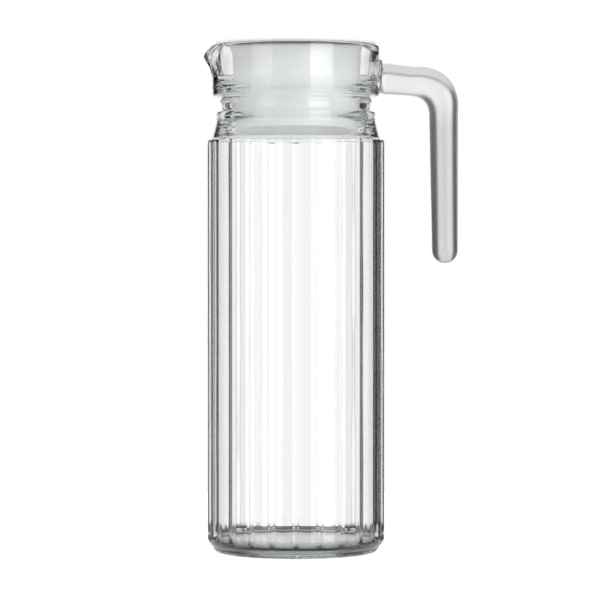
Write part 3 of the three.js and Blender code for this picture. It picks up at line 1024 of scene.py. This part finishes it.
# %% Ride on the bodies
for piece, node, body, slot in (
    (vessel, "glass_vessel", "jug", "clear_glass"),
    (handle, "glass_handle", "jug", "clear_glass"),
    (lid, "lid", "cap", "white_plastic"),
    (ring, "lid_seal", "seal", "soft_ring"),
):
    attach(piece, body)
    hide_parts(node)
    print(piece.name, "rides on", body)

# %% [markdown]
# ## Stage and light
#
# The jug stands on a white table. A disc takes its soft shadow. The disc is grey with a glow that only
# the camera sees, which brings it up to the white of the world behind it.
# Glass doesn't see the disc: it sees the world, which carries the room's pattern.

# %% Floor
FLOOR_RADIUS = 350 * MM
FLOOR_CORNERS = 128
FLOOR_DEPTH = 0.2 * MM


def table_disc(name, radius, depth):
    """A flat disc just under the foot, centred on the jug's axis."""
    bpy.ops.object.select_all(action="DESELECT")
    bpy.ops.mesh.primitive_circle_add(
        vertices=FLOOR_CORNERS, radius=radius, fill_type="NGON", location=(0, 0, -depth)
    )
    disc = bpy.context.object
    disc.name = name
    return disc


floor = table_disc("floor", FLOOR_RADIUS, FLOOR_DEPTH)
floor.visible_transmission = False
floor.visible_glossy = False
print("the floor is", round(2 * FLOOR_RADIUS / MM), "mm across")

# %% Paint the floor
FLOOR_GREY = (0.5, 0.5, 0.5, 1)
FLOOR_GLOW = 0.75
floor_paint = bpy.data.materials.new("floor_paint")
floor_paint.use_nodes = True
tree = floor_paint.node_tree
tree.nodes.clear()
diffuse = add_node(tree, "BsdfDiffuse", sockets={"Color": FLOOR_GREY})
glow = add_node(tree, "Emission")
path = add_node(tree, "LightPath")
level = add_node(tree, "Math", {"operation": "MULTIPLY"})
level.inputs[1].default_value = FLOOR_GLOW
total = add_node(tree, "AddShader")
out = add_node(tree, "OutputMaterial")
tree.links.new(path.outputs["Is Camera Ray"], level.inputs[0])
tree.links.new(level.outputs[0], glow.inputs["Strength"])
tree.links.new(diffuse.outputs[0], total.inputs[0])
tree.links.new(glow.outputs[0], total.inputs[1])
tree.links.new(total.outputs[0], out.inputs["Surface"])
put_on(floor, floor_paint)

# %% [markdown]
# ### Shade under the foot
#
# Little light gets in where the foot meets the table, so the heel and the edge of the base look dark.
# The floor is hidden from the glass, so a disc that only the glass can see stands in for that shade.
# It is darkest from the foot ring outwards and fades to both sides, as a soft shadow does.

# %% Shade under the foot
SHADE_RADIUS = 72 * MM
SHADE_DEPTH = 0.1 * MM
# Grey of the disc by its radius in mm
SHADE = [(0, 0.8), (20, 0.6), (31, 0.1), (36, 0.01), (56, 0.01), (72, 0.6)]
shade = table_disc("foot_shade", SHADE_RADIUS, SHADE_DEPTH)
shade.visible_camera = False
shade.visible_diffuse = False
shade.visible_glossy = False
shade.visible_shadow = False
print("the shade is", round(2 * SHADE_RADIUS / MM), "mm across")

# %% Paint the shade
shade_paint, tree, shader = new_finish("foot_shade", {"Roughness": 1})
place = add_node(tree, "TexCoord")
radius = add_node(tree, "VectorMath", {"operation": "LENGTH"})
share = add_node(tree, "MapRange", sockets={"From Max": SHADE_RADIUS})
greys = add_node(tree, "ValToRGB")
tree.links.new(place.outputs["Object"], radius.inputs[0])
tree.links.new(radius.outputs["Value"], share.inputs["Value"])
tree.links.new(share.outputs["Result"], greys.inputs["Fac"])
tree.links.new(greys.outputs["Color"], shader.inputs["Base Color"])
stops = greys.color_ramp.elements
stops.remove(stops[1])
for index, (at, grey) in enumerate(SHADE):
    position = at * MM / SHADE_RADIUS
    stop = stops[0] if index == 0 else stops.new(position)
    stop.position = position
    stop.color = (grey, grey, grey, 1)
put_on(shade, shade_paint)

# %% [markdown]
# ## Room round the jug
#
# Clear glass has no look of its own: it shows the room, bent and squeezed. A photographer puts a white
# wall behind it, and black cards beside that wall draw dark lines along the glass. Such cards could be
# modelled as planes. Here the world's own colour does it: a ramp round the horizon holds the wall and
# the cards, other ramps hold the table below and the ceiling above, and soft lines part them.

# %% Levels of the room
# Brightness of the back of the room, by the angle in degrees from straight behind the jug, to the right
ROOM = [
    (-62, 0.1), (-58, 0.05), (-54, 0.2), (-48, 0.8), (-43, 0.85), (-40, 0.03), (-24, 0.01), (-20, 1.1),
    (-17, 1.15), (-12, 1.15), (-8, 1.08), (-4, 0.98), (0, 1.0), (4, 1.05), (10, 1.1), (17, 1.1), (20, 0.7),
    (24, 0.03), (50, 0.01), (56, 0.3), (62, 0.12),
]
# Brightness of the rest of the room, by the angle from straight behind the jug to either side
SIDES = [(66, 0.1), (80, 0.35), (104, 0.45), (120, 0.12), (138, 0.12), (150, 0.7)]
SIDE_LINE = (62, 66)
# Brightness by the height of the direction, from -1 straight down to 1 straight up
TABLE = [(-1.0, 0.8), (-0.2, 0.85)]
TABLE_EDGE = [(-0.2, 0.85), (-0.17, 0.03), (-0.13, 0.03)]
TABLE_LINE = (-0.115, -0.135)
# Angles to either side between which the table's dark far edge ends
FRONT_LINE = (42, 56)
SKY = [(0.5, 0.9), (0.8, 0.5), (1.0, 0.4)]
SKY_LINE = (0.6, 0.75)
print(len(ROOM) + 2 * len(SIDES), "levels round the room")

# %% World with ramps and soft lines
world = bpy.data.worlds.new("studio")
scene.world = world
world.use_nodes = True
# The surfaces' own rays find the room, so it isn't sampled as a lamp as well
world.cycles.sampling_method = "NONE"
tree = world.node_tree
tree.nodes.clear()


def ramp(value, pairs, low, high):
    """A colour ramp with grey levels at given values, fed by a value that runs from low to high."""
    share = add_node(tree, "MapRange", sockets={"From Min": low, "From Max": high})
    colours = add_node(tree, "ValToRGB")
    tree.links.new(value, share.inputs["Value"])
    tree.links.new(share.outputs["Result"], colours.inputs["Fac"])
    stops = colours.color_ramp.elements
    stops.remove(stops[1])
    for index, (at, level) in enumerate(pairs):
        position = (at - low) / (high - low)
        stop = stops[0] if index == 0 else stops.new(position)
        stop.position = position
        stop.color = (level, level, level, 1)
    return colours.outputs["Color"]


def blend(value, line, first, second):
    """The first colour up to the line's first value, the second past its other one, softly joined."""
    share = add_node(tree, "MapRange", sockets={"From Min": line[0], "From Max": line[1]})
    both = add_node(tree, "MixRGB")
    tree.links.new(value, share.inputs["Value"])
    tree.links.new(share.outputs["Result"], both.inputs["Fac"])
    tree.links.new(first, both.inputs["Color1"])
    tree.links.new(second, both.inputs["Color2"])
    return both.outputs["Color"]


# %% Paint the room
direction = add_node(tree, "TexCoord")
axes = add_node(tree, "SeparateXYZ")
turn = add_node(tree, "Math", {"operation": "ARCTAN2"})
degrees = add_node(tree, "Math", {"operation": "DEGREES"})
tree.links.new(direction.outputs["Generated"], axes.inputs[0])
tree.links.new(axes.outputs["X"], turn.inputs[0])
tree.links.new(axes.outputs["Y"], turn.inputs[1])
tree.links.new(turn.outputs[0], degrees.inputs[0])
height = axes.outputs["Z"]
aside = add_node(tree, "Math", {"operation": "ABSOLUTE"})
tree.links.new(degrees.outputs[0], aside.inputs[0])
back_wall = ramp(degrees.outputs[0], ROOM, -180, 180)
side_walls = ramp(aside.outputs[0], SIDES, 0, 180)
walls = blend(aside.outputs[0], SIDE_LINE, back_wall, side_walls)
table_behind = ramp(height, TABLE_EDGE, -1, 1)
table_before = ramp(height, TABLE, -1, 1)
table = blend(aside.outputs[0], FRONT_LINE, table_behind, table_before)
with_table = blend(height, TABLE_LINE, walls, table)
with_sky = blend(height, SKY_LINE, with_table, ramp(height, SKY, -1, 1))
print("the room has", len(tree.nodes), "nodes")

# %% [markdown]
# ### Who sees the room
#
# Only glass and gloss need the pattern. The camera sees plain white behind the jug,
# and a surface that scatters light gets one even level, so that a colour renders about as written.
# Light Path tells these rays apart: a ray that was scattered once has a Diffuse Depth of 1.

# %% Join the room, the even light and the white
ROOM_LIGHT = 1.15
SCATTERED = 0.5
WHITE = (1, 1, 1, 1)
path = add_node(tree, "LightPath")
seen = add_node(tree, "Background")
plain = add_node(tree, "Background", sockets={"Color": WHITE, "Strength": ROOM_LIGHT})
white = add_node(tree, "Background", sockets={"Color": WHITE})
lit = add_node(tree, "Math", {"operation": "GREATER_THAN"})
lit.inputs[1].default_value = SCATTERED
for_surfaces = add_node(tree, "MixShader")
for_camera = add_node(tree, "MixShader")
out = add_node(tree, "OutputWorld")
tree.links.new(with_sky, seen.inputs["Color"])
tree.links.new(path.outputs["Diffuse Depth"], lit.inputs[0])
tree.links.new(lit.outputs[0], for_surfaces.inputs[0])
tree.links.new(seen.outputs[0], for_surfaces.inputs[1])
tree.links.new(plain.outputs[0], for_surfaces.inputs[2])
tree.links.new(path.outputs["Is Camera Ray"], for_camera.inputs[0])
tree.links.new(for_surfaces.outputs[0], for_camera.inputs[1])
tree.links.new(white.outputs[0], for_camera.inputs[2])
tree.links.new(for_camera.outputs[0], out.inputs["Surface"])
print("the even light has a strength of", ROOM_LIGHT)

# %% [markdown]
# ## Soft boxes
#
# Two upright soft boxes stand to the left and right of the camera. They make the bright panels
# that the band and the handle show. Matt surfaces already have their even light from the world,
# so the lamps are hidden from scattered rays. They show up as reflections, and through the glass
# for someone who looks at the jug from behind.

# %% Soft boxes
# The lamps stand far off, so they are measured in metres
BOX_DISTANCE = 1.3
BOX_HEIGHT = 1.0
BOX_LEVEL = 0.22


def soft_box(name, azimuth, width, radiance):
    """A soft box that faces the jug; azimuth in degrees from the camera's side, to the right."""
    lamp = bpy.data.lights.new(name, "AREA")
    lamp.shape = "RECTANGLE"
    lamp.size = width
    lamp.size_y = BOX_HEIGHT
    lamp.energy = radiance * math.pi * width * BOX_HEIGHT
    box = bpy.data.objects.new(name, lamp)
    scene.collection.objects.link(box)
    angle = math.radians(azimuth)
    box.location = (BOX_DISTANCE * math.sin(angle), -BOX_DISTANCE * math.cos(angle), BOX_LEVEL)
    box.rotation_euler = (math.radians(90), 0, angle)
    box.visible_camera = False
    box.visible_diffuse = False
    print(name, "stands at", azimuth, "degrees")


soft_box("soft_box_right", azimuth=36, width=0.75, radiance=2.4)
soft_box("soft_box_left", azimuth=-48, width=0.7, radiance=1.2)
